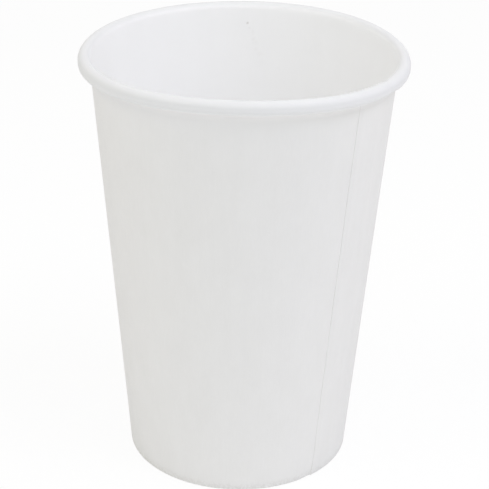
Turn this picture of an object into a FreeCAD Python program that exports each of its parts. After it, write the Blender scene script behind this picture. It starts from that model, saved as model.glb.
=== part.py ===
import FreeCAD
import Part

import math
import os

from FreeCAD import Vector

# Paper coffee cup of 400 ml for hot drinks. Two pieces of coated board make it: a side wall that is
# one sheet, wrapped to a cone and sealed along a lapped seam, and a pressed base disc. The wall's top
# edge is rolled outwards into the rim. Its bottom edge is folded in and up round the disc's skirt.
# Millimetres, +Z up, origin on the table at the centre of the foot.

# Overall sizes
cup_height = 121.0
rim_diameter = 90.0  # over the rolled rim
foot_diameter = 64.0  # where the outside of the wall would meet the table

# Board
wall_board = 0.38
base_board = 0.30
glue_line = 0.02  # melted coating between two sealed pieces

# Rolled rim
roll_width = 3.7
roll_height = 5.0
roll_gap = 0.05  # left between the tucked end and the seam on the wall

# Foot
base_recess = 7.5  # from the table to the underside of the disc
hem_gap = 0.7  # from the hem's free edge to the underside of the disc
disc_bend = 0.5  # inside radius between the disc and its skirt

# A bend is drawn as flats, so that the rolled rim stays light enough to mesh. Each bend gets as many
# as keep this close to its true round.
bend_error = 0.065

# Crimp marks that seal the hem, pressed into its inner face
crimp_count = 60
crimp_depth = 0.1
crimp_width = 1.3
crimp_margin = 0.7  # plain board above and below each mark

# Side seam: seen from above, the outer layer runs clockwise from the inner layer's free edge
seam_azimuth = -35.0  # degrees from +X to the inner layer's free edge
lap_width = 8.0
lap_step = 0.26  # height of a free edge, less than the board because the lap is pressed
ramp_angle = 8.0  # degrees that the sheet takes to climb onto the inner layer
ramp_spans = 4

# Worked out from the sizes above
rim_radius = rim_diameter / 2
foot_radius = foot_diameter / 2
half_board = wall_board / 2
skirt_slot = base_board + 2 * glue_line
roll_slot = lap_step + roll_gap
axis_start = Vector(0, 0, 0)
axis_up = Vector(0, 0, 1)

# The roll's upper half turns round this centre, and the wall runs tangent to it.
roll_centre_radius = rim_radius - roll_width / 2
roll_centre_height = cup_height - roll_width / 2
roll_bend = roll_width / 2 - half_board
foot_to_roll = math.hypot(roll_centre_radius - foot_radius, roll_centre_height)
wall_rise = math.atan2(roll_centre_height, roll_centre_radius - foot_radius)
wall_rise += math.asin((roll_bend - half_board) / foot_to_roll)
lean = math.pi / 2 - wall_rise

# Under the roll the sheet comes back to the wall, then turns up inside.
under_bottom = cup_height - roll_height + half_board
under_reach = (rim_radius - half_board - foot_radius) * math.cos(lean)
under_reach -= under_bottom * math.sin(lean) + roll_slot + half_board
under_bend = under_reach / (1 + math.cos(lean) + math.sin(lean))
under_centre_radius = rim_radius - half_board - under_bend
under_centre_height = under_bottom + under_bend
side_drop = roll_centre_height - under_centre_height
tuck_length = side_drop * math.cos(lean)
tuck_length += (roll_centre_radius - under_centre_radius) * math.sin(lean)

# Foot and hem: the board is creased sharply, so its inside corners are square
hem_depth = wall_board + skirt_slot + half_board
hem_top = base_recess - hem_gap


def wall_radius(height, depth):
    """Radius at a height, at a depth square to the wall's outside."""
    return foot_radius + height * math.tan(lean) - depth / math.cos(lean)


def left_of(heading):
    """Unit vector square to a heading in the plane of radius and height, on its left."""
    return Vector(-math.sin(heading), 0, math.cos(heading))


def straight(length):
    """A move straight ahead."""
    return length, 0, 1


def bend(radius, turn, shift=0):
    """A move round a bend, positive to the left, for a board that lies inside it by a shift."""
    outside = radius + half_board
    flat_turn = 2 * math.acos(1 - bend_error / outside)
    return radius - shift, turn, math.ceil(abs(turn) / flat_turn)


def board_section(start, heading, moves, thickness):
    """Face of a board whose centre line makes straight moves and bends from a start."""
    left = [start + left_of(heading) * thickness / 2]
    right = [start - left_of(heading) * thickness / 2]
    point = start
    for size, turn, flats in moves:
        if not turn:
            point = point + Vector(math.cos(heading), 0, math.sin(heading)) * size
            left.append(point + left_of(heading) * thickness / 2)
            right.append(point - left_of(heading) * thickness / 2)
            continue
        radius = math.copysign(size, turn)
        centre = point + left_of(heading) * radius
        for number in range(1, flats + 1):
            outward = left_of(heading + turn * number / flats)
            for side, reach in ((left, radius - thickness / 2), (right, radius + thickness / 2)):
                corner = centre - outward * reach
                if not corner.isEqual(side[-1], 1e-6):
                    side.append(corner)
        heading += turn
        point = centre - left_of(heading) * radius
    return Part.Face(Part.makePolygon(left + right[::-1] + [left[0]]))


def sheet_section(azimuth, shift):
    """Section of the wall's sheet at an azimuth, lying outside its place by a shift."""
    hem_start = Vector(wall_radius(hem_top, hem_depth + shift), 0, hem_top)
    hem_bottom = wall_board + half_board * math.sin(lean)
    foot_width = skirt_slot + 2 * shift
    wall_bottom = wall_board - half_board * math.sin(lean)
    wall_top = roll_centre_height + (roll_bend - shift) * math.sin(lean)
    moves = [
        straight((hem_top - hem_bottom) / math.cos(lean)),
        bend(half_board, math.pi / 2 + lean),
        straight(foot_width / math.cos(lean)),
        bend(half_board, math.pi / 2 - lean),
        straight((wall_top - wall_bottom) / math.cos(lean)),
        bend(roll_bend, -wall_rise, shift),
        bend(roll_bend, -math.pi / 2, shift),
        straight(side_drop),
        bend(under_bend, -math.pi / 2, shift),
        bend(under_bend, -math.pi / 2 - lean, shift),
        straight(tuck_length),
    ]
    section = board_section(hem_start, -math.pi / 2 - lean, moves, wall_board)
    section.rotate(axis_start, axis_up, azimuth)
    return section


def wrapped_sheet():
    """The sheet once round the cup, its climb onto its own start, and the lap beyond."""
    ramp_end = sheet_section(seam_azimuth + ramp_angle, 0)
    once_round = ramp_end.revolve(axis_start, axis_up, 360 - ramp_angle)

    climb = []
    for number in range(ramp_spans + 1):
        share = number / ramp_spans
        azimuth = seam_azimuth + ramp_angle * (1 - share)
        climb.append(sheet_section(azimuth, lap_step * share).OuterWire)
    ramp = Part.makeLoft(climb, True, True)

    quarter_lap = sheet_section(seam_azimuth, lap_step).revolve(axis_start, axis_up, -90)
    lap_block = Part.makeBox(rim_diameter, lap_width, cup_height, Vector(0, -lap_width, 0))
    lap_block.rotate(axis_start, axis_up, seam_azimuth)
    return once_round.fuse([ramp, quarter_lap.common(lap_block)])


def hem_shift(azimuth):
    """How far the hem's inner face stands inside its place, at an azimuth."""
    beyond = (azimuth - seam_azimuth) % 360
    lap_angle = math.degrees(math.asin(lap_width / wall_radius(hem_top, hem_depth)))
    if beyond < ramp_angle:
        return lap_step * (1 - beyond / ramp_angle)
    return lap_step if beyond > 360 - lap_angle else 0


def crimp_marks():
    """Ring of shallow upright grooves in the hem's inner face."""
    low = wall_board + crimp_margin
    upright = Vector(math.tan(lean), 0, 1) * (hem_top - crimp_margin - low)
    marks = []
    for number in range(crimp_count):
        azimuth = 360.0 * number / crimp_count
        face_radius = wall_radius(low, hem_depth + half_board + hem_shift(azimuth))
        corners = [
            Vector(face_radius + crimp_depth, 0, low),
            Vector(face_radius - crimp_depth, crimp_width, low),
            Vector(face_radius - crimp_depth, -crimp_width, low),
        ]
        mark = Part.Face(Part.makePolygon(corners + corners[:1])).extrude(upright)
        mark.rotate(axis_start, axis_up, azimuth)
        marks.append(mark)
    return marks


def side_wall():
    """The wrapped sheet: hem, foot, cone, lapped seam and rolled rim."""
    return wrapped_sheet().cut(crimp_marks()).removeSplitter().Solids[0]


def base_disc():
    """The pressed disc, with its skirt pointing down between the wall and the hem."""
    radius = disc_bend + base_board / 2
    skirt_depth = wall_board + glue_line + base_board / 2
    skirt_bottom = wall_board + glue_line + base_board / 2 * math.sin(lean)
    bend_start = base_recess + base_board / 2 - radius * (1 + math.sin(lean))
    skirt_start = Vector(wall_radius(skirt_bottom, skirt_depth), 0, skirt_bottom)
    moves = [
        straight((bend_start - skirt_bottom) / math.cos(lean)),
        bend(radius, math.pi / 2 + lean),
        straight(wall_radius(bend_start, skirt_depth) - radius * math.cos(lean)),
    ]
    section = board_section(skirt_start, wall_rise, moves, base_board)
    return section.revolve(axis_start, axis_up, 360)


os.makedirs("parts", exist_ok=True)
pieces = {"side_wall": side_wall(), "base_disc": base_disc()}
for name, shape in pieces.items():
    shape.exportStep(f"parts/{name}.step")
    size = shape.BoundBox
    print(name, shape.ShapeType, "valid", shape.isValid(), "volume", round(shape.Volume, 1), end=" ")
    print("from", round(size.ZMin, 3), "to", round(size.ZMax, 3))
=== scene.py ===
import math

import bpy
from mathutils import Matrix, Vector


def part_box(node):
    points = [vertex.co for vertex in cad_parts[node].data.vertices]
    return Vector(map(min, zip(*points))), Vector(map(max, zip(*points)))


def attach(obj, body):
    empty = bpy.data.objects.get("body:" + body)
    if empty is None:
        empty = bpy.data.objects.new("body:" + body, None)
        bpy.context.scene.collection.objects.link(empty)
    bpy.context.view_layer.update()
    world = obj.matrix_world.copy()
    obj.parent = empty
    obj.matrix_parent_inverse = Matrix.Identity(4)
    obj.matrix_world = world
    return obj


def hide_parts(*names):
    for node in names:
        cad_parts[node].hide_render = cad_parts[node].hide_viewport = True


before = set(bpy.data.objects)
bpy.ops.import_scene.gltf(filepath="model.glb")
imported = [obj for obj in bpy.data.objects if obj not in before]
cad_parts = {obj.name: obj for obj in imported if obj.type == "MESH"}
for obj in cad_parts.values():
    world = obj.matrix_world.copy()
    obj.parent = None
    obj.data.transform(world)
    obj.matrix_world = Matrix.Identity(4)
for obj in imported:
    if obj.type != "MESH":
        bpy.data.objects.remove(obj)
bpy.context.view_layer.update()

# A white paper cup: one wrapped sheet of board for the wall, and a pressed disc for its bottom.
# Metres, +Z up, the cup standing on the floor at the origin, the camera in front at -Y.

mm = 0.001
up = Vector((0, 0, 1))

wallLow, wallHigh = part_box("side_wall")
cupHeight = wallHigh.z
rimRadius = (wallHigh.x - wallLow.x) / 2


# helpers for work in edit mode

def onlyActive(obj):
    if bpy.context.object and bpy.context.object.mode != "OBJECT":
        bpy.ops.object.mode_set(mode="OBJECT")
    bpy.ops.object.select_all(action="DESELECT")
    obj.select_set(True)
    bpy.context.view_layer.objects.active = obj


def pickVertices(obj, test):
    onlyActive(obj)
    bpy.ops.object.mode_set(mode="EDIT")
    bpy.ops.mesh.select_mode(type="VERT")
    bpy.ops.mesh.select_all(action="DESELECT")
    bpy.ops.object.mode_set(mode="OBJECT")
    for vertex in obj.data.vertices:
        vertex.select = test(vertex)
    bpy.ops.object.mode_set(mode="EDIT")


def spinOn(parts, angle, centre, axis):
    # spin turns clockwise about its axis, so it is given the opposite one
    bpy.ops.mesh.spin(steps=parts, angle=angle, center=centre, axis=-axis)


def applyAll(obj):
    onlyActive(obj)
    for name in [modifier.name for modifier in obj.modifiers]:
        bpy.ops.object.modifier_apply(modifier=name)


def weighVertices(obj, name, weightOf):
    onlyActive(obj)
    group = obj.vertex_groups.new(name=name)
    for vertex in obj.data.vertices:
        weight = weightOf(vertex)
        if weight > 0:
            group.add([vertex.index], weight, "REPLACE")
    return group.name


def displace(obj, group, strength):
    shift = obj.modifiers.new(group, "DISPLACE")
    shift.direction = "NORMAL"
    shift.mid_level = 0
    shift.strength = strength
    shift.vertex_group = group
    applyAll(obj)


def thicken(obj, thickness, group=""):
    # the first material keeps the outside, the second takes the inside and the third the cut edges
    thick = obj.modifiers.new("thickness", "SOLIDIFY")
    thick.thickness = thickness
    thick.offset = 0
    thick.use_even_offset = True
    thick.vertex_group = group
    thick.material_offset = 1
    thick.material_offset_rim = 2
    applyAll(obj)


def softenEdges(obj):
    soft = obj.modifiers.new("soft edges", "BEVEL")
    soft.width = sheetSize["edgeBevel"]
    soft.segments = 2
    soft.limit_method = "ANGLE"
    soft.angle_limit = math.radians(sheetSize["sharpAngle"])
    applyAll(obj)


def smoothStep(share):
    share = min(1, max(0, share))
    return share * share * (3 - 2 * share)


def flatRadius(point):
    return math.hypot(point[0], point[1])


def azimuthOf(point):
    return math.degrees(math.atan2(point[1], point[0]))


# the sheet of the side wall

sheetSize = {
    "board": 0.38 * mm,
    "footRadius": 32.15 * mm,       # where the outside of the wall would meet the floor
    "rollWidth": 3.5 * mm,          # the bead at the rim
    "rollHeight": 3.8 * mm,
    "rollGap": 0.31 * mm,           # between the tucked end and the wall, room for the lap
    "foldSlot": 0.34 * mm,          # between wall and hem, for the disc's skirt
    "foldBend": 0.24 * mm,          # of the sheet's middle
    "hemTop": 6.8 * mm,
    "markLevel": 114.7 * mm,        # the rolling tool leaves a low step round the wall, under the roll
    "markWidth": 1.8 * mm,
    "markDepth": 0.06 * mm,
    "markFade": (0.6, 0.3),         # its start below the roll's middle and its length, in roll widths
    "seamAngle": -33.8,             # free edge of the inner layer, degrees from +X
    "lapWidth": 8.0 * mm,
    "lapStep": 0.26 * mm,           # the lap is pressed to this thickness
    "lapGap": 0.005 * mm,
    "lapSpare": 2,                  # degrees drawn beyond the lap, before its edge is cut
    "lapTaper": 1.6 * mm,           # the sealing jaws press both free edges thin over this width
    "lapEdge": 0.07 * mm,
    "startEdge": 0.16 * mm,
    "rampAngle": 8,                 # degrees in which the sheet climbs onto its own start
    "columnAngle": 1,               # degrees from one column of faces to the next
    "edgeBevel": 0.03 * mm,
    "sharpAngle": 60,               # degrees, an edge sharper than this is bevelled
}

sheetParts = {
    # how many lengths each stretch of the section is drawn in
    "hem": 16,
    "fold": 6,
    "wall": 26,
    "mark": 6,
    "overMark": 6,
    "rollBend": 12,
    "rollSide": 2,
    "tuck": 3,
}

board = sheetSize["board"]
seam = math.radians(sheetSize["seamAngle"])
seamOutward = Vector((math.cos(seam), math.sin(seam), 0))
seamSideways = Vector((math.sin(seam), -math.cos(seam), 0))    # clockwise, the way that the sheet runs

rollBend = (sheetSize["rollWidth"] - board) / 2
rollRadius = rimRadius - sheetSize["rollWidth"] / 2
rollLevel = cupHeight - sheetSize["rollWidth"] / 2
rollReach = rollRadius - sheetSize["footRadius"]
wallRise = math.atan2(rollLevel, rollReach)
wallRise += math.asin((rollBend - board / 2) / math.hypot(rollReach, rollLevel))
lean = math.pi / 2 - wallRise


def wallRadius(level, depth):
    return sheetSize["footRadius"] + level * math.tan(lean) - depth / math.cos(lean)


class Pen:
    # draws the sheet's section from vertex to vertex, in the upright plane through the seam

    def __init__(self, radius, level, heading):
        self.place = Vector((radius, level))
        self.heading = heading
        bpy.ops.mesh.primitive_plane_add(size=1 * mm, location=seamOutward * radius + up * level)
        self.obj = bpy.context.object
        bpy.ops.object.transform_apply(location=True)
        bpy.ops.object.mode_set(mode="EDIT")
        bpy.ops.mesh.merge(type="CENTER")

    def ahead(self):
        return Vector((math.cos(self.heading), math.sin(self.heading)))

    def straight(self, length, parts):
        step = self.ahead() * length / parts
        for part in range(parts):
            move = seamOutward * step.x + up * step.y
            bpy.ops.mesh.extrude_region_move(TRANSFORM_OT_translate={"value": move})
        self.place += step * parts

    def bend(self, radius, turn, parts):
        side = math.copysign(1, turn)
        leftward = Vector((-math.sin(self.heading), math.cos(self.heading))) * side * radius
        centre = self.place + leftward
        pivot = seamOutward * centre.x + up * centre.y
        spinOn(parts, abs(turn), pivot, seamSideways * side)
        self.heading += turn
        leftward.rotate(Matrix.Rotation(turn, 2))
        self.place = centre - leftward


def drawSheet():
    size = sheetSize
    half = board / 2

    # down from the hem's free edge and round both bends of the foot
    hemDepth = board + size["foldSlot"] + half
    innerCorner = wallRadius(half, hemDepth)
    outerCorner = wallRadius(half, half)
    innerReach = size["foldBend"] * math.tan((math.pi / 2 + lean) / 2)
    outerReach = size["foldBend"] * math.tan((math.pi / 2 - lean) / 2)

    pen = Pen(wallRadius(size["hemTop"], hemDepth), size["hemTop"], -math.pi / 2 - lean)
    pen.straight((size["hemTop"] - half) / math.cos(lean) - innerReach, sheetParts["hem"])
    pen.bend(size["foldBend"], math.pi / 2 + lean, sheetParts["fold"])
    pen.straight(outerCorner - innerCorner - innerReach - outerReach, 1)
    pen.bend(size["foldBend"], math.pi / 2 - lean, sheetParts["fold"])

    # up the wall, with more parts over the tool mark
    markLow = size["markLevel"] - size["markWidth"] / 2
    wallTop = rollLevel + rollBend * math.sin(lean)
    pen.straight((markLow - pen.place.y) / math.cos(lean), sheetParts["wall"])
    pen.straight(size["markWidth"] / math.cos(lean), sheetParts["mark"])
    pen.straight((wallTop - pen.place.y) / math.cos(lean), sheetParts["overMark"])

    # out and down round the roll, back to the wall, and up inside
    underBottom = cupHeight - size["rollHeight"] + half
    underReach = (rimRadius - half - size["footRadius"]) * math.cos(lean)
    underReach -= underBottom * math.sin(lean) + size["rollGap"] + half
    underBend = underReach / (1 + math.cos(lean) + math.sin(lean))
    sideDrop = rollLevel - underBottom - underBend
    inward = rollRadius - (rimRadius - half - underBend)
    pen.bend(rollBend, -wallRise, sheetParts["rollBend"])
    pen.bend(rollBend, -math.pi / 2, sheetParts["rollBend"])
    pen.straight(sideDrop, sheetParts["rollSide"])
    pen.bend(underBend, -math.pi / 2, sheetParts["rollBend"])
    pen.bend(underBend, -math.pi / 2 - lean, sheetParts["rollBend"])
    pen.straight(sideDrop * math.cos(lean) + inward * math.sin(lean), sheetParts["tuck"])
    bpy.ops.object.mode_set(mode="OBJECT")
    return pen.obj


def buildSideWall():
    size = sheetSize
    sheet = drawSheet()
    sheet.name = "sideWall"
    sheet.data.name = "sideWall"

    # once round, then up the ramp and over the start
    pickVertices(sheet, lambda vertex: True)
    once = 360 - size["rampAngle"]
    lapAngle = math.degrees(math.asin(size["lapWidth"] / wallRadius(0, 2 * board))) + size["lapSpare"]
    extra = size["rampAngle"] + math.ceil(lapAngle)
    spinOn(once // size["columnAngle"], math.radians(once), (0, 0, 0), -up)
    bpy.ops.object.mode_set(mode="OBJECT")
    firstCount = len(sheet.data.vertices)
    bpy.ops.object.mode_set(mode="EDIT")
    spinOn(extra // size["columnAngle"], math.radians(extra), (0, 0, 0), -up)
    bpy.ops.object.mode_set(mode="OBJECT")
    print("sheet spun:", firstCount, "and", len(sheet.data.vertices) - firstCount, "vertices")

    # the outside is where the normals point
    facing = max(sheet.data.polygons, key=lambda face: face.area)
    outward = Vector((facing.center.x, facing.center.y, 0))
    if facing.normal.dot(outward) < 0:
        pickVertices(sheet, lambda vertex: True)
        bpy.ops.mesh.flip_normals()

    def isFirst(vertex):
        # part of the first turn, and not of the ramp and the lap
        return vertex.index < firstCount

    def travelled(vertex):
        # degrees along the sheet from its first edge, with slack for a column that lies on the start
        slack = 0.01
        start = 0 if isFirst(vertex) else once
        return start + (size["seamAngle"] - azimuthOf(vertex.co) - start + slack) % 360

    def lapShare(vertex):
        # 0 on the first turn, 1 on the lap
        return smoothStep((travelled(vertex) - once) / size["rampAngle"])

    def underShare(vertex):
        # 1 under the lap, 0 past it
        return 1 - smoothStep((travelled(vertex) - lapAngle) / size["rampAngle"])

    # the lap lies on the start, and on the foot's crease both are pressed to half their thickness
    lapMiddle = (size["lapStep"] + size["lapGap"] + board) / 2
    lapBoard = size["lapStep"] - size["lapGap"]
    pressedFoot = board / 4
    onFoot = size["foldBend"] * 2

    def lapTaper(vertex):
        # how much of its thickness the lap loses here
        fromEdge = size["lapWidth"] - vertex.co.dot(seamSideways)
        if isFirst(vertex) or fromEdge > size["lapTaper"]:
            return 0
        return smoothStep(1 - fromEdge / size["lapTaper"]) * (lapBoard - size["lapEdge"])

    def startTaper(vertex):
        # the share of its thickness that the first edge loses here
        quarterTurn = 90
        if not isFirst(vertex) or travelled(vertex) > quarterTurn:
            return 0
        fromEdge = vertex.co.dot(seamSideways)
        return smoothStep(1 - fromEdge / size["lapTaper"]) * (1 - size["startEdge"] / board)

    def liftWeight(vertex):
        share = lapShare(vertex)
        if vertex.co.z < onFoot:
            return share * pressedFoot / lapMiddle
        return share * (1 - lapTaper(vertex) / 2 / lapMiddle)

    def sinkWeight(vertex):
        return underShare(vertex) if isFirst(vertex) and vertex.co.z < onFoot else 0

    def boardWeight(vertex):
        share = lapShare(vertex)
        if vertex.co.z < onFoot:
            return 1 - max(share, sinkWeight(vertex)) / 2
        return 1 - share * (1 - (lapBoard - lapTaper(vertex)) / board) - startTaper(vertex)

    weighVertices(sheet, "lift", liftWeight)
    weighVertices(sheet, "sink", sinkWeight)
    weighVertices(sheet, "board", boardWeight)

    # the lap's outer edge is cut straight, parallel to the seam
    climbed = 0.99
    pickVertices(sheet, lambda vertex: lapShare(vertex) > climbed)
    edge = seamSideways * size["lapWidth"]
    bpy.ops.mesh.bisect(plane_co=edge, plane_no=seamSideways, clear_outer=True, clear_inner=False)
    bpy.ops.object.mode_set(mode="OBJECT")

    displace(sheet, "lift", lapMiddle)
    displace(sheet, "sink", -pressedFoot)
    for material in (boardMaterial("outerBoard"), boardMaterial("innerCoat"), cutEdge()):
        sheet.data.materials.append(material)
    thicken(sheet, board, "board")
    softenEdges(sheet)
    print("side wall: faces", len(sheet.data.polygons))
    return sheet


def markWall(sheet):
    # a low step outward above the tool mark, which fades behind the roll
    size = sheetSize
    fadeStart, fadeLength = (share * size["rollWidth"] for share in size["markFade"])

    def markWeight(vertex):
        fromOutside = wallRadius(vertex.co.z, 0) - flatRadius(vertex.co)
        if not -board < fromOutside < board / 4:
            return 0
        rise = (vertex.co.z - size["markLevel"]) / size["markWidth"] + 0.5
        fall = (vertex.co.z - rollLevel + fadeStart) / fadeLength
        return smoothStep(rise) * (1 - smoothStep(fall))

    displace(sheet, weighVertices(sheet, "tool mark", markWeight), size["markDepth"])


# painted light and shade that follow the sheet, kept on its points from before the rim is bent

sheetTones = {
    "rimDepth": 1.7 * mm,        # painted shade on the coat over the roll's top and outside, holding down the light that falls there
    "rimFade": 1.5 * mm,
    "rimSpread": 0.8 * mm,       # and from the roll's middle outward
    "underRoll": 0.5,            # share of that painted shade taken off on the roll's underside, which is left lighter
    "underRollLightDepth": 4.5 * mm,       # painted light below the roll, lifting the shade that the roll casts on the wall, fading over this depth
    "markLeft": 0.25,            # the tool mark's painted shade is this faint at the front, and full toward the right
    "markTurn": 50,              # degrees from the front to its strongest place
}


def paintSheet(sheet):
    size = sheetTones
    names = ("rimShadeShare", "underRollLightShare", "markShadeShare")
    for name in names:
        sheet.data.attributes.new(name, "FLOAT", "POINT")
    rimShadeShare, underRollLightShare, markShadeShare = (sheet.data.attributes[name].data for name in names)
    rollUnder = cupHeight - sheetSize["rollHeight"]
    for vertex in sheet.data.vertices:
        level = vertex.co.z
        # painted shade over the roll's top and outside, with less of it on the roll's underside
        high = (level - cupHeight + size["rimDepth"]) / size["rimFade"]
        outward = (flatRadius(vertex.co) - rollRadius) / size["rimSpread"] + 0.5
        under = min(1, (cupHeight - level) / sheetSize["rollHeight"]) * size["underRoll"]
        rimShadeShare[vertex.index].value = smoothStep(max(high, outward)) * (1 - under)
        # painted light under the roll, full up to its underside and fading downward
        underRollLightShare[vertex.index].value = min(1, math.exp((level - rollUnder) / size["underRollLightDepth"]))
        # painted shade along the tool mark, faint at the front and full toward the right
        fromMark = abs(level - sheetSize["markLevel"]) / (sheetSize["markWidth"] / 2)
        fromFront = azimuthOf(vertex.co) + 90
        strong = smoothStep(fromFront / size["markTurn"]) if fromFront < 180 else 0
        strength = size["markLeft"] + (1 - size["markLeft"]) * strong
        markShadeShare[vertex.index].value = smoothStep(1 - fromMark) * strength


# the hem is sealed by upright crimp marks on its inner face

crimpSize = {
    "everyDegrees": 6,
    "halfWidth": 1.25,         # degrees
    "depth": 0.1 * mm,
    "low": 1.1 * mm,
    "high": 6.1 * mm,
    "fade": 0.4 * mm,
}


def crimpHem(sheet):
    size = crimpSize
    hemMiddle = board * 1.5 + sheetSize["foldSlot"]

    def crimpWeight(vertex):
        level = vertex.co.z
        inside = flatRadius(vertex.co) < wallRadius(level, hemMiddle) - board / 8
        if not inside or not size["low"] < level < size["high"]:
            return 0
        halfStep = size["everyDegrees"] / 2
        off = abs((azimuthOf(vertex.co) + halfStep) % size["everyDegrees"] - halfStep)
        fromEnd = min(level - size["low"], size["high"] - level)
        return max(0, 1 - off / size["halfWidth"]) * smoothStep(fromEnd / size["fade"])

    displace(sheet, weighVertices(sheet, "crimps", crimpWeight), -size["depth"])
    print("hem crimped")


# the base disc, with its skirt pointing down into the fold

discSize = {
    "board": 0.30 * mm,
    "recess": 7.5 * mm,          # from the floor to the disc's underside
    "bend": 0.65 * mm,           # of the disc's middle, into the skirt
    "crown": 0.22 * mm,
    "glue": 0.02 * mm,
    "columns": 240,
    "parts": 8,                  # up the skirt, and again round the bend
    "rings": (26.0 * mm, 21.5 * mm, 17.0 * mm, 12.5 * mm, 8.0 * mm, 4.0 * mm, 1.6 * mm),
}


def ringTo(obj, radius, level):
    # extrudes the edge that is selected to a ring of another radius and level
    bpy.ops.mesh.extrude_edges_move()
    bpy.ops.object.mode_set(mode="OBJECT")
    now = next(vertex.co.copy() for vertex in obj.data.vertices if vertex.select)
    bpy.ops.object.mode_set(mode="EDIT")
    scale = radius / flatRadius(now)
    bpy.ops.transform.resize(value=(scale, scale, 1), center_override=(0, 0, now.z))
    bpy.ops.transform.translate(value=(0, 0, level - now.z))


def buildBaseDisc():
    size = discSize
    half = size["board"] / 2
    depth = board + size["glue"] + half
    skirtBottom = board + size["glue"] + half * math.sin(lean)
    discLevel = size["recess"] + half
    bendLevel = discLevel - size["bend"]
    bendRadius = wallRadius(bendLevel, depth) - size["bend"] / math.cos(lean)
    bpy.ops.mesh.primitive_circle_add(
        vertices=size["columns"], radius=wallRadius(skirtBottom, depth), location=(0, 0, skirtBottom)
    )
    disc = bpy.context.object
    disc.name = "baseDisc"
    disc.data.name = "baseDisc"
    bpy.ops.object.transform_apply(location=True)
    bpy.ops.object.mode_set(mode="EDIT")
    bpy.ops.mesh.select_all(action="SELECT")

    # up the skirt, round the bend, then in to the middle
    bendStart = bendLevel - size["bend"] * math.sin(lean)
    shares = [part / size["parts"] for part in range(1, size["parts"] + 1)]
    for share in shares:
        level = skirtBottom + (bendStart - skirtBottom) * share
        ringTo(disc, wallRadius(level, depth), level)
    for share in shares:
        angle = -lean + (math.pi / 2 + lean) * share
        outward, rise = size["bend"] * math.cos(angle), size["bend"] * math.sin(angle)
        ringTo(disc, bendRadius + outward, bendLevel + rise)
    for radius in size["rings"]:
        crown = size["crown"] * (1 - (radius / bendRadius) ** 2)
        ringTo(disc, radius, discLevel + crown)
    bpy.ops.mesh.extrude_edges_move()
    bpy.ops.mesh.merge(type="CENTER")
    bpy.ops.mesh.select_all(action="SELECT")
    bpy.ops.mesh.normals_make_consistent(inside=False)
    bpy.ops.object.mode_set(mode="OBJECT")
    middle = min(disc.data.polygons, key=lambda face: flatRadius(face.center))
    if middle.normal.z < 0:
        pickVertices(disc, lambda vertex: True)
        bpy.ops.mesh.flip_normals()
        bpy.ops.object.mode_set(mode="OBJECT")

    for material in (boardMaterial("discCoat"), boardMaterial("discBoard"), cutEdge()):
        disc.data.materials.append(material)
    thicken(disc, size["board"])
    softenEdges(disc)
    print("base disc: faces", len(disc.data.polygons))
    return disc


# a paper cup's rim is never quite round or level: a cage bends it, and lets the foot be

rimBend = {
    # for each term, the waves round the rim, the height of the cosine and that of the sine
    "outward": ((2, 0.53 * mm, -0.44 * mm), (4, -0.41 * mm, 0)),
    "upward": ((1, 0.28 * mm, 0.42 * mm), (2, -0.56 * mm, 0.14 * mm)),
    "points": 9,               # of the cage, each way across the cup
    "levels": 5,
    "size": 96 * mm,
}


def waves(terms, azimuth, share):
    total = 0
    for count, even, odd in terms:
        total += (even * math.cos(count * azimuth) + odd * math.sin(count * azimuth)) * share ** count
    return total


def rimShift(radius, azimuth, level):
    # how far the bend moves a place outward and upward
    share, high = radius / rimRadius, (level / cupHeight) ** 2
    outward = waves(rimBend["outward"], azimuth, share)
    upward = waves(rimBend["upward"], azimuth, share)
    return outward * high, upward * high


def bendRim(piece):
    size = rimBend
    bpy.ops.object.add(type="LATTICE", location=(0, 0, cupHeight / 2))
    cage = bpy.context.object
    lattice = cage.data
    lattice.points_u = lattice.points_v = size["points"]
    lattice.points_w = size["levels"]
    lattice.interpolation_type_u = lattice.interpolation_type_v = "KEY_CATMULL_ROM"
    lattice.interpolation_type_w = "KEY_CATMULL_ROM"
    reach = max(point.co.x for point in lattice.points)
    tall = max(point.co.z for point in lattice.points)
    cage.scale = (size["size"] / 2 / reach, size["size"] / 2 / reach, cupHeight / 2 / tall)
    for point in lattice.points:
        x, y = point.co.x * cage.scale.x, point.co.y * cage.scale.y
        azimuth = math.atan2(y, x)
        level = (point.co.z / tall + 1) / 2 * cupHeight
        outward, lift = rimShift(math.hypot(x, y), azimuth, level)
        point.co_deform.x += outward * math.cos(azimuth) / cage.scale.x
        point.co_deform.y += outward * math.sin(azimuth) / cage.scale.y
        point.co_deform.z += lift / cage.scale.z
    hold = piece.modifiers.new("rim bend", "LATTICE")
    hold.object = cage
    bpy.context.view_layer.update()
    applyAll(piece)
    bpy.data.objects.remove(cage)
    print("rim bent")


# shader node groups

def newGroup(name, inputs, outputs):
    group = bpy.data.node_groups.new(name, "ShaderNodeTree")
    for socketName, value in inputs.items():
        socket = group.interface.new_socket(socketName, in_out="INPUT", socket_type="NodeSocketFloat")
        socket.default_value = value
    for socketName in outputs:
        group.interface.new_socket(socketName, in_out="OUTPUT", socket_type="NodeSocketFloat")
    group.nodes.new("NodeGroupInput").name = "in"
    group.nodes.new("NodeGroupOutput").name = "out"
    return group


def addNode(tree, kind, inputs=None, **settings):
    node = tree.nodes.new(kind)
    for name, value in settings.items():
        setattr(node, name, value)
    for name, value in (inputs or {}).items():
        if isinstance(value, bpy.types.NodeSocket):
            tree.links.new(value, node.inputs[name])
        else:
            node.inputs[name].default_value = value
    return node


def calculate(tree, operation, first, second=0.0, clamp=False):
    inputs = {0: first, 1: second}
    return addNode(tree, "ShaderNodeMath", inputs, operation=operation, use_clamp=clamp).outputs[0]


def objectPlace(tree, scale):
    place = addNode(tree, "ShaderNodeTexCoord").outputs["Object"]
    return addNode(tree, "ShaderNodeMapping", {"Vector": place, "Scale": scale}).outputs[0]


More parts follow.
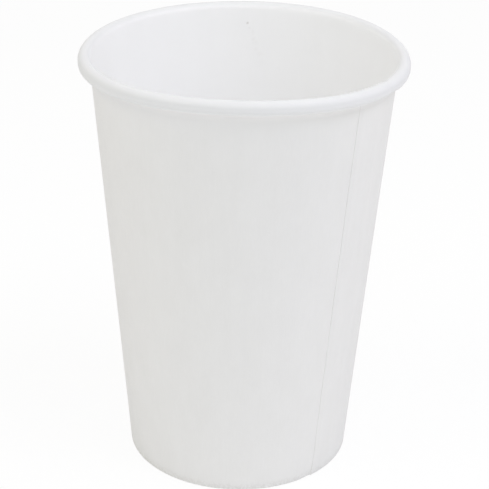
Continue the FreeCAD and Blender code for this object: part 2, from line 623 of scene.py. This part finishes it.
patterns = {
    # repeats in a metre along x, y and z, then what the noise needs besides
    "fibre": ((2600, 2600, 420), {"Detail": 3.0, "Distortion": 0.6}),
    "tooth": ((7200, 7200, 5200), {"Detail": 2.0}),
    "cloud": ((150, 150, 95), {"Detail": 4.0, "Roughness": 0.6}),
    "streak": ((520, 520, 22), {"Detail": 3.0}),
    "spots": ((1500, 1500, 1500), {"Detail": 3.0}),
    "ragged": ((1300, 1300, 900), {"Detail": 4.0}),
}


def noise(tree, name):
    scale, settings = patterns[name]
    inputs = {"Vector": objectPlace(tree, scale), "Scale": 1.0} | settings
    return addNode(tree, "ShaderNodeTexNoise", inputs).outputs[0]


def swing(tree, name, amount):
    # a pattern's rise and fall about zero
    return calculate(tree, "MULTIPLY", calculate(tree, "SUBTRACT", noise(tree, name), 0.5), amount)


def fibreGroup():
    # long fibres that lie mostly up and down the wall, and the fine tooth of the board between them
    name = "paperFibre"
    if name in bpy.data.node_groups:
        return bpy.data.node_groups[name]
    group = newGroup(name, {"Fibre": 1.0, "Tooth": 1.0}, ("Height", "Tone"))
    source, result = group.nodes["in"].outputs, group.nodes["out"].inputs
    fibre = swing(group, "fibre", source["Fibre"])
    tooth = swing(group, "tooth", source["Tooth"])
    group.links.new(calculate(group, "ADD", fibre, tooth), result["Height"])
    group.links.new(fibre, result["Tone"])
    return group


def formationGroup():
    # cloudy look of board, and faint streaks along its grain
    name = "boardFormation"
    if name in bpy.data.node_groups:
        return bpy.data.node_groups[name]
    group = newGroup(name, {"Cloud": 1.0, "Streak": 1.0}, ("Tone", "Height"))
    source, result = group.nodes["in"].outputs, group.nodes["out"].inputs
    cloud = swing(group, "cloud", source["Cloud"])
    streak = swing(group, "streak", source["Streak"])
    group.links.new(calculate(group, "ADD", cloud, streak), result["Tone"])
    group.links.new(streak, result["Height"])
    return group


footWear = {
    "reach": 2.6 * mm,           # above the floor
    "spots": (0.38, 0.68),       # values of the noise where a spot begins and where it is full
}


def footScuffAndShadeGroup():
    # darker in spots just above the floor: partly the board rubbed and dusty, partly painted shade at
    # the foot
    name = "footWear"
    if name in bpy.data.node_groups:
        return bpy.data.node_groups[name]
    group = newGroup(name, {"Reach": footWear["reach"], "Amount": 1.0}, ("Mask",))
    source = group.nodes["in"].outputs
    place = addNode(group, "ShaderNodeTexCoord").outputs["Object"]
    level = addNode(group, "ShaderNodeSeparateXYZ", {0: place}).outputs["Z"]
    share = calculate(group, "DIVIDE", level, source["Reach"])
    low = calculate(group, "SUBTRACT", 1.0, share, clamp=True)
    least, most = footWear["spots"]
    limits = {"Value": noise(group, "spots"), "From Min": least, "From Max": most}
    spots = addNode(group, "ShaderNodeMapRange", limits).outputs[0]
    mask = calculate(group, "MULTIPLY", calculate(group, "MULTIPLY", low, spots), source["Amount"])
    group.links.new(mask, group.nodes["out"].inputs["Mask"])
    return group


# marks that the photograph shows inside, on the far wall

insideMarks = {
    "reach": 1.8,              # in radii of a mark, from its middle
    "ragged": 2.0,             # and how far the noise draws that in
    "soft": 0.5,               # and the width of its edge
    # azimuth in degrees, level, radius and strength
    "speck": (88.7, 115.2 * mm, 0.75 * mm, 0.42),
    "trail": (
        (87.9, 113.6 * mm, 0.6 * mm, 0.07),
        (86.3, 112.4 * mm, 1.1 * mm, 0.05),
        (86.0, 110.4 * mm, 1.0 * mm, 0.07),
        (84.9, 109.2 * mm, 1.2 * mm, 0.05),
        (84.6, 107.4 * mm, 1.0 * mm, 0.06),
        (83.0, 105.9 * mm, 1.4 * mm, 0.045),
        (82.4, 103.4 * mm, 1.6 * mm, 0.035),
    ),
}


def insideMarkGroup():
    name = "insideMarks"
    if name in bpy.data.node_groups:
        return bpy.data.node_groups[name]
    size = insideMarks
    group = newGroup(name, {"Amount": 1.0}, ("Mask",))
    place = addNode(group, "ShaderNodeTexCoord").outputs["Object"]
    ragged = noise(group, "ragged")
    total = None
    for azimuth, level, radius, strength in (size["speck"],) + size["trail"]:
        out = wallRadius(level, board)
        angle = math.radians(azimuth)
        outward, lift = rimShift(out, angle, level)
        out += outward
        centre = (out * math.cos(angle), out * math.sin(angle), level + lift)
        apart = addNode(group, "ShaderNodeVectorMath", {0: place, 1: centre}, operation="DISTANCE")
        edge = calculate(group, "MULTIPLY", ragged, radius * size["ragged"])
        away = calculate(group, "ADD", apart.outputs["Value"], edge)
        near = calculate(group, "SUBTRACT", radius * size["reach"], away)
        spot = calculate(group, "DIVIDE", near, radius * size["soft"], clamp=True)
        spot = calculate(group, "MULTIPLY", spot, strength)
        total = spot if total is None else calculate(group, "MAXIMUM", total, spot)
    mask = calculate(group, "MULTIPLY", total, group.nodes["in"].outputs["Amount"])
    group.links.new(mask, group.nodes["out"].inputs["Mask"])
    return group


# materials

def newMaterial(name, colour, roughness, specular):
    material = bpy.data.materials.new(name)
    material.use_nodes = True
    shader = material.node_tree.nodes["Principled BSDF"]
    shader.inputs["Base Color"].default_value = colour + (1,)
    shader.inputs["Roughness"].default_value = roughness
    shader.inputs["Specular IOR Level"].default_value = specular
    return material, material.node_tree, shader


def useGroup(tree, group, inputs):
    return addNode(tree, "ShaderNodeGroup", inputs, node_tree=group).outputs


def blended(tree, first, second, amount):
    # from a colour, plain or not, to a plain one as the amount goes from 0 to 1
    plain = not isinstance(first, bpy.types.NodeSocket)
    inputs = {"Factor": amount, "A": first + (1,) if plain else first, "B": second + (1,)}
    mix = addNode(tree, "ShaderNodeMix", inputs, data_type="RGBA", clamp_factor=True)
    return mix.outputs["Result"]


def onSheet(tree, name):
    return addNode(tree, "ShaderNodeAttribute", attribute_name=name).outputs["Fac"]


def centred(tree, value, spread):
    return calculate(tree, "ADD", calculate(tree, "MULTIPLY", value, spread), 0.5, clamp=True)


def addBump(tree, shader, height, depth):
    bump = addNode(tree, "ShaderNodeBump", {"Height": height, "Strength": 1.0, "Distance": depth})
    tree.links.new(bump.outputs[0], shader.inputs["Normal"])


boardLook = {
    # plain board, and board under its plastic coat
    "plain": {
        "light": (0.813, 0.810, 0.806),
        "dark": (0.784, 0.780, 0.774),
        "roughness": (0.62, 0.78),
        "specular": 0.35,
    },
    "coat": {
        # whiter than the plain board: the coat's own white, and partly painted light that brightens the
        # cup's inside
        "light": (0.968, 0.968, 0.972),
        "dark": (0.950, 0.950, 0.953),
        "roughness": (0.34, 0.46),
        "specular": 0.5,
    },
    "clouds": {"Cloud": 0.8, "Streak": 0.4},
    "fibreTone": 0.6,
    "toneSpread": 1.6,
    "roughSpread": 2.0,
    "streakHeight": 0.8,
    # what lies over the wall's outside, then over its inside
    # painted light on the wall under the roll
    "underRollLight": (0.935, 0.932, 0.928),
    # painted shade along the tool mark's step
    "toolMarkShade": (0.850, 0.847, 0.842),
    # scuffs near the floor, partly painted shade at the foot
    "scuffAndShade": (0.64, 0.63, 0.61),
    "scuffAndShadeAmount": 0.8,
    # painted shade over the roll's top and outside
    "rim": (0.706, 0.710, 0.722),
    "rimRoughness": 0.28,        # more than the coat's
    "mark": (0.30, 0.27, 0.24),
    "markAmount": 0.7,
}

boardFaces = {
    "outerBoard": {"base": "plain", "fibre": 1.0, "tooth": 0.8, "bump": 0.012 * mm},
    "innerCoat": {"base": "coat", "fibre": 0.7, "tooth": 0.3, "bump": 0.006 * mm},
    "discCoat": {"base": "coat", "fibre": 0.5, "tooth": 0.4, "bump": 0.007 * mm},
    "discBoard": {"base": "plain", "fibre": 0.9, "tooth": 0.9, "bump": 0.012 * mm},
}


def boardMaterial(name):
    look, face = boardLook, boardFaces[name]
    base = look[face["base"]]
    smoothest, roughest = base["roughness"]
    material, tree, shader = newMaterial(name, base["light"], smoothest, base["specular"])
    grain = useGroup(tree, fibreGroup(), {"Fibre": face["fibre"], "Tooth": face["tooth"]})
    cloud = useGroup(tree, formationGroup(), look["clouds"])
    fibreTone = calculate(tree, "MULTIPLY", grain["Tone"], look["fibreTone"])
    tone = calculate(tree, "ADD", cloud["Tone"], fibreTone)
    colour = blended(tree, base["light"], base["dark"], centred(tree, tone, look["toneSpread"]))
    spread = {"Value": centred(tree, tone, look["roughSpread"]), "To Min": smoothest, "To Max": roughest}
    rough = addNode(tree, "ShaderNodeMapRange", spread).outputs[0]
    if name == "outerBoard":
        # painted light under the roll, lifting the shade it casts on the wall
        colour = blended(tree, colour, look["underRollLight"], onSheet(tree, "underRollLightShare"))
        # painted shade along the tool mark's step
        colour = blended(tree, colour, look["toolMarkShade"], onSheet(tree, "markShadeShare"))
        # scuffs near the floor, partly painted shade at the foot
        scuffAndShade = useGroup(tree, footScuffAndShadeGroup(), {"Amount": look["scuffAndShadeAmount"]})["Mask"]
        colour = blended(tree, colour, look["scuffAndShade"], scuffAndShade)
    if name == "innerCoat":
        # painted shade over the roll's top and outside
        rim = onSheet(tree, "rimShadeShare")
        colour = blended(tree, colour, look["rim"], rim)
        rough = calculate(tree, "ADD", rough, calculate(tree, "MULTIPLY", rim, look["rimRoughness"]))
        marks = useGroup(tree, insideMarkGroup(), {"Amount": look["markAmount"]})["Mask"]
        colour = blended(tree, colour, look["mark"], marks)
    tree.links.new(colour, shader.inputs["Base Color"])
    tree.links.new(rough, shader.inputs["Roughness"])
    streaks = calculate(tree, "MULTIPLY", cloud["Height"], look["streakHeight"])
    addBump(tree, shader, calculate(tree, "ADD", grain["Height"], streaks), face["bump"])
    return material


edgeLook = {
    # lighter than the plain board: the cut board's own white, and partly painted light that lifts the
    # shade along the lap's edge
    "light": (0.90, 0.89, 0.87),
    "dark": (0.84, 0.825, 0.795),
    "roughness": 0.85,
    "specular": 0.25,
    "grain": {"Fibre": 1.2, "Tooth": 1.6},
    "spread": 1.8,
    "bump": 0.03 * mm,
}


def cutEdge():
    # plies of a cut board, seen on its free edges
    name = "cutEdge"
    if name in bpy.data.materials:
        return bpy.data.materials[name]
    look = edgeLook
    material, tree, shader = newMaterial(name, look["light"], look["roughness"], look["specular"])
    height = useGroup(tree, fibreGroup(), look["grain"])["Height"]
    colour = blended(tree, look["light"], look["dark"], centred(tree, height, look["spread"]))
    tree.links.new(colour, shader.inputs["Base Color"])
    addBump(tree, shader, height, look["bump"])
    return material


# floor, light and camera

floorLook = {
    "size": 6.0,
    "drop": 0.02 * mm,    # below the cup's foot
    "colour": (0.93, 0.93, 0.93),
    "shine": 0.90,        # share of plain white that the camera sees in place of the lit floor
}

studioLights = {
    "world": {"colour": (1.0, 1.0, 0.99), "strength": 0.61},
    "topRight": {"place": (0.42, -0.20, 0.78), "size": 0.55, "power": 2.88, "colour": (0.95, 0.93, 1.0)},
    "topLeft": {"place": (-0.42, -0.20, 0.78), "size": 0.55, "power": 1.79, "colour": (1.0, 0.94, 0.80)},
    "front": {"place": (0.0, -0.55, 0.75), "size": 0.60, "power": 0.66, "colour": (0.68, 0.86, 1.0)},
}

cameraPlace = {
    "place": (0.0, -0.4038, 0.2508),
    "yaw": 0.149,
    "down": 25.02,                      # degrees, as are yaw and roll
    "roll": 1.024,
    "focalPixels": 1551.6,
    "imagePixels": 489,
    "sensor": 36.0,
    "clipStart": 0.01,
}


def seenDirectly(tree):
    # 1 for the rays of the camera and of mirror images, 0 for those that light the cup
    path = addNode(tree, "ShaderNodeLightPath")
    seen = calculate(tree, "MAXIMUM", path.outputs["Is Camera Ray"], path.outputs["Is Glossy Ray"])
    return calculate(tree, "MAXIMUM", seen, path.outputs["Is Transmission Ray"])


def mixShaders(tree, share, first, second, end):
    mix = addNode(tree, "ShaderNodeMixShader", {0: share, 1: first.outputs[0], 2: second.outputs[0]})
    tree.links.new(mix.outputs[0], tree.nodes[end].inputs["Surface"])


def buildFloor():
    bpy.ops.mesh.primitive_plane_add(size=floorLook["size"], location=(0, 0, -floorLook["drop"]))
    floor = bpy.context.object
    floor.name = "floor"
    material = bpy.data.materials.new("floorPaint")
    material.use_nodes = True
    tree = material.node_tree
    paint = tree.nodes["Principled BSDF"]
    paint.inputs["Base Color"].default_value = floorLook["colour"] + (1,)
    paint.inputs["Roughness"].default_value = 1.0
    paint.inputs["Specular IOR Level"].default_value = 0.0
    white = addNode(tree, "ShaderNodeEmission", {"Color": (1, 1, 1, 1), "Strength": 1.0})
    share = calculate(tree, "MULTIPLY", seenDirectly(tree), floorLook["shine"])
    mixShaders(tree, share, paint, white, "Material Output")
    floor.data.materials.append(material)


def lightStudio():
    world = bpy.data.worlds.new("studio")
    bpy.context.scene.world = world
    world.use_nodes = True
    tree = world.node_tree
    lit = tree.nodes["Background"]
    lit.inputs["Color"].default_value = studioLights["world"]["colour"] + (1,)
    lit.inputs["Strength"].default_value = studioLights["world"]["strength"]
    white = addNode(tree, "ShaderNodeBackground", {"Color": (1, 1, 1, 1), "Strength": 1.0})
    mixShaders(tree, seenDirectly(tree), lit, white, "World Output")
    for name, lamp in studioLights.items():
        if name == "world":
            continue
        light = bpy.data.lights.new(name, "AREA")
        light.shape = "DISK"
        light.size = lamp["size"]
        light.energy = lamp["power"]
        light.color = lamp["colour"]
        holder = bpy.data.objects.new(name, light)
        holder.location = lamp["place"]
        aim = Vector((0, 0, cupHeight / 2)) - holder.location
        holder.rotation_euler = aim.to_track_quat("-Z", "Y").to_euler()
        bpy.context.scene.collection.objects.link(holder)


def placeCamera():
    data = bpy.data.cameras.new("camera")
    data.sensor_width = cameraPlace["sensor"]
    data.lens = cameraPlace["focalPixels"] / cameraPlace["imagePixels"] * cameraPlace["sensor"]
    data.clip_start = cameraPlace["clipStart"]
    camera = bpy.data.objects.new("camera", data)
    yaw, down, roll = (math.radians(cameraPlace[name]) for name in ("yaw", "down", "roll"))
    level = Vector((math.sin(yaw), math.cos(yaw), 0))
    across = Vector((math.cos(yaw), -math.sin(yaw), 0))
    ahead = level * math.cos(down) - up * math.sin(down)
    above = level * math.sin(down) + up * math.cos(down)
    right = across * math.cos(roll) + above * math.sin(roll)
    top = above * math.cos(roll) - across * math.sin(roll)
    turn = Matrix((right, top, -ahead)).transposed().to_4x4()
    camera.matrix_world = Matrix.Translation(cameraPlace["place"]) @ turn
    bpy.context.scene.collection.objects.link(camera)
    bpy.context.scene.camera = camera


sideWall = buildSideWall()
markWall(sideWall)
crimpHem(sideWall)
paintSheet(sideWall)
bendRim(sideWall)
baseDisc = buildBaseDisc()

pieces = ((sideWall, "side_wall", "wall_board"), (baseDisc, "base_disc", "base_board"))
smoothAngle = math.radians(40)
for piece, node, slotName in pieces:
    piece.vertex_groups.clear()
    onlyActive(piece)
    bpy.ops.object.shade_smooth_by_angle(angle=smoothAngle)
    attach(piece, "root")
    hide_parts(node)
print("pieces ready")

buildFloor()
lightStudio()
placeCamera()
bpy.context.scene.view_settings.view_transform = "Standard"
print("studio ready")
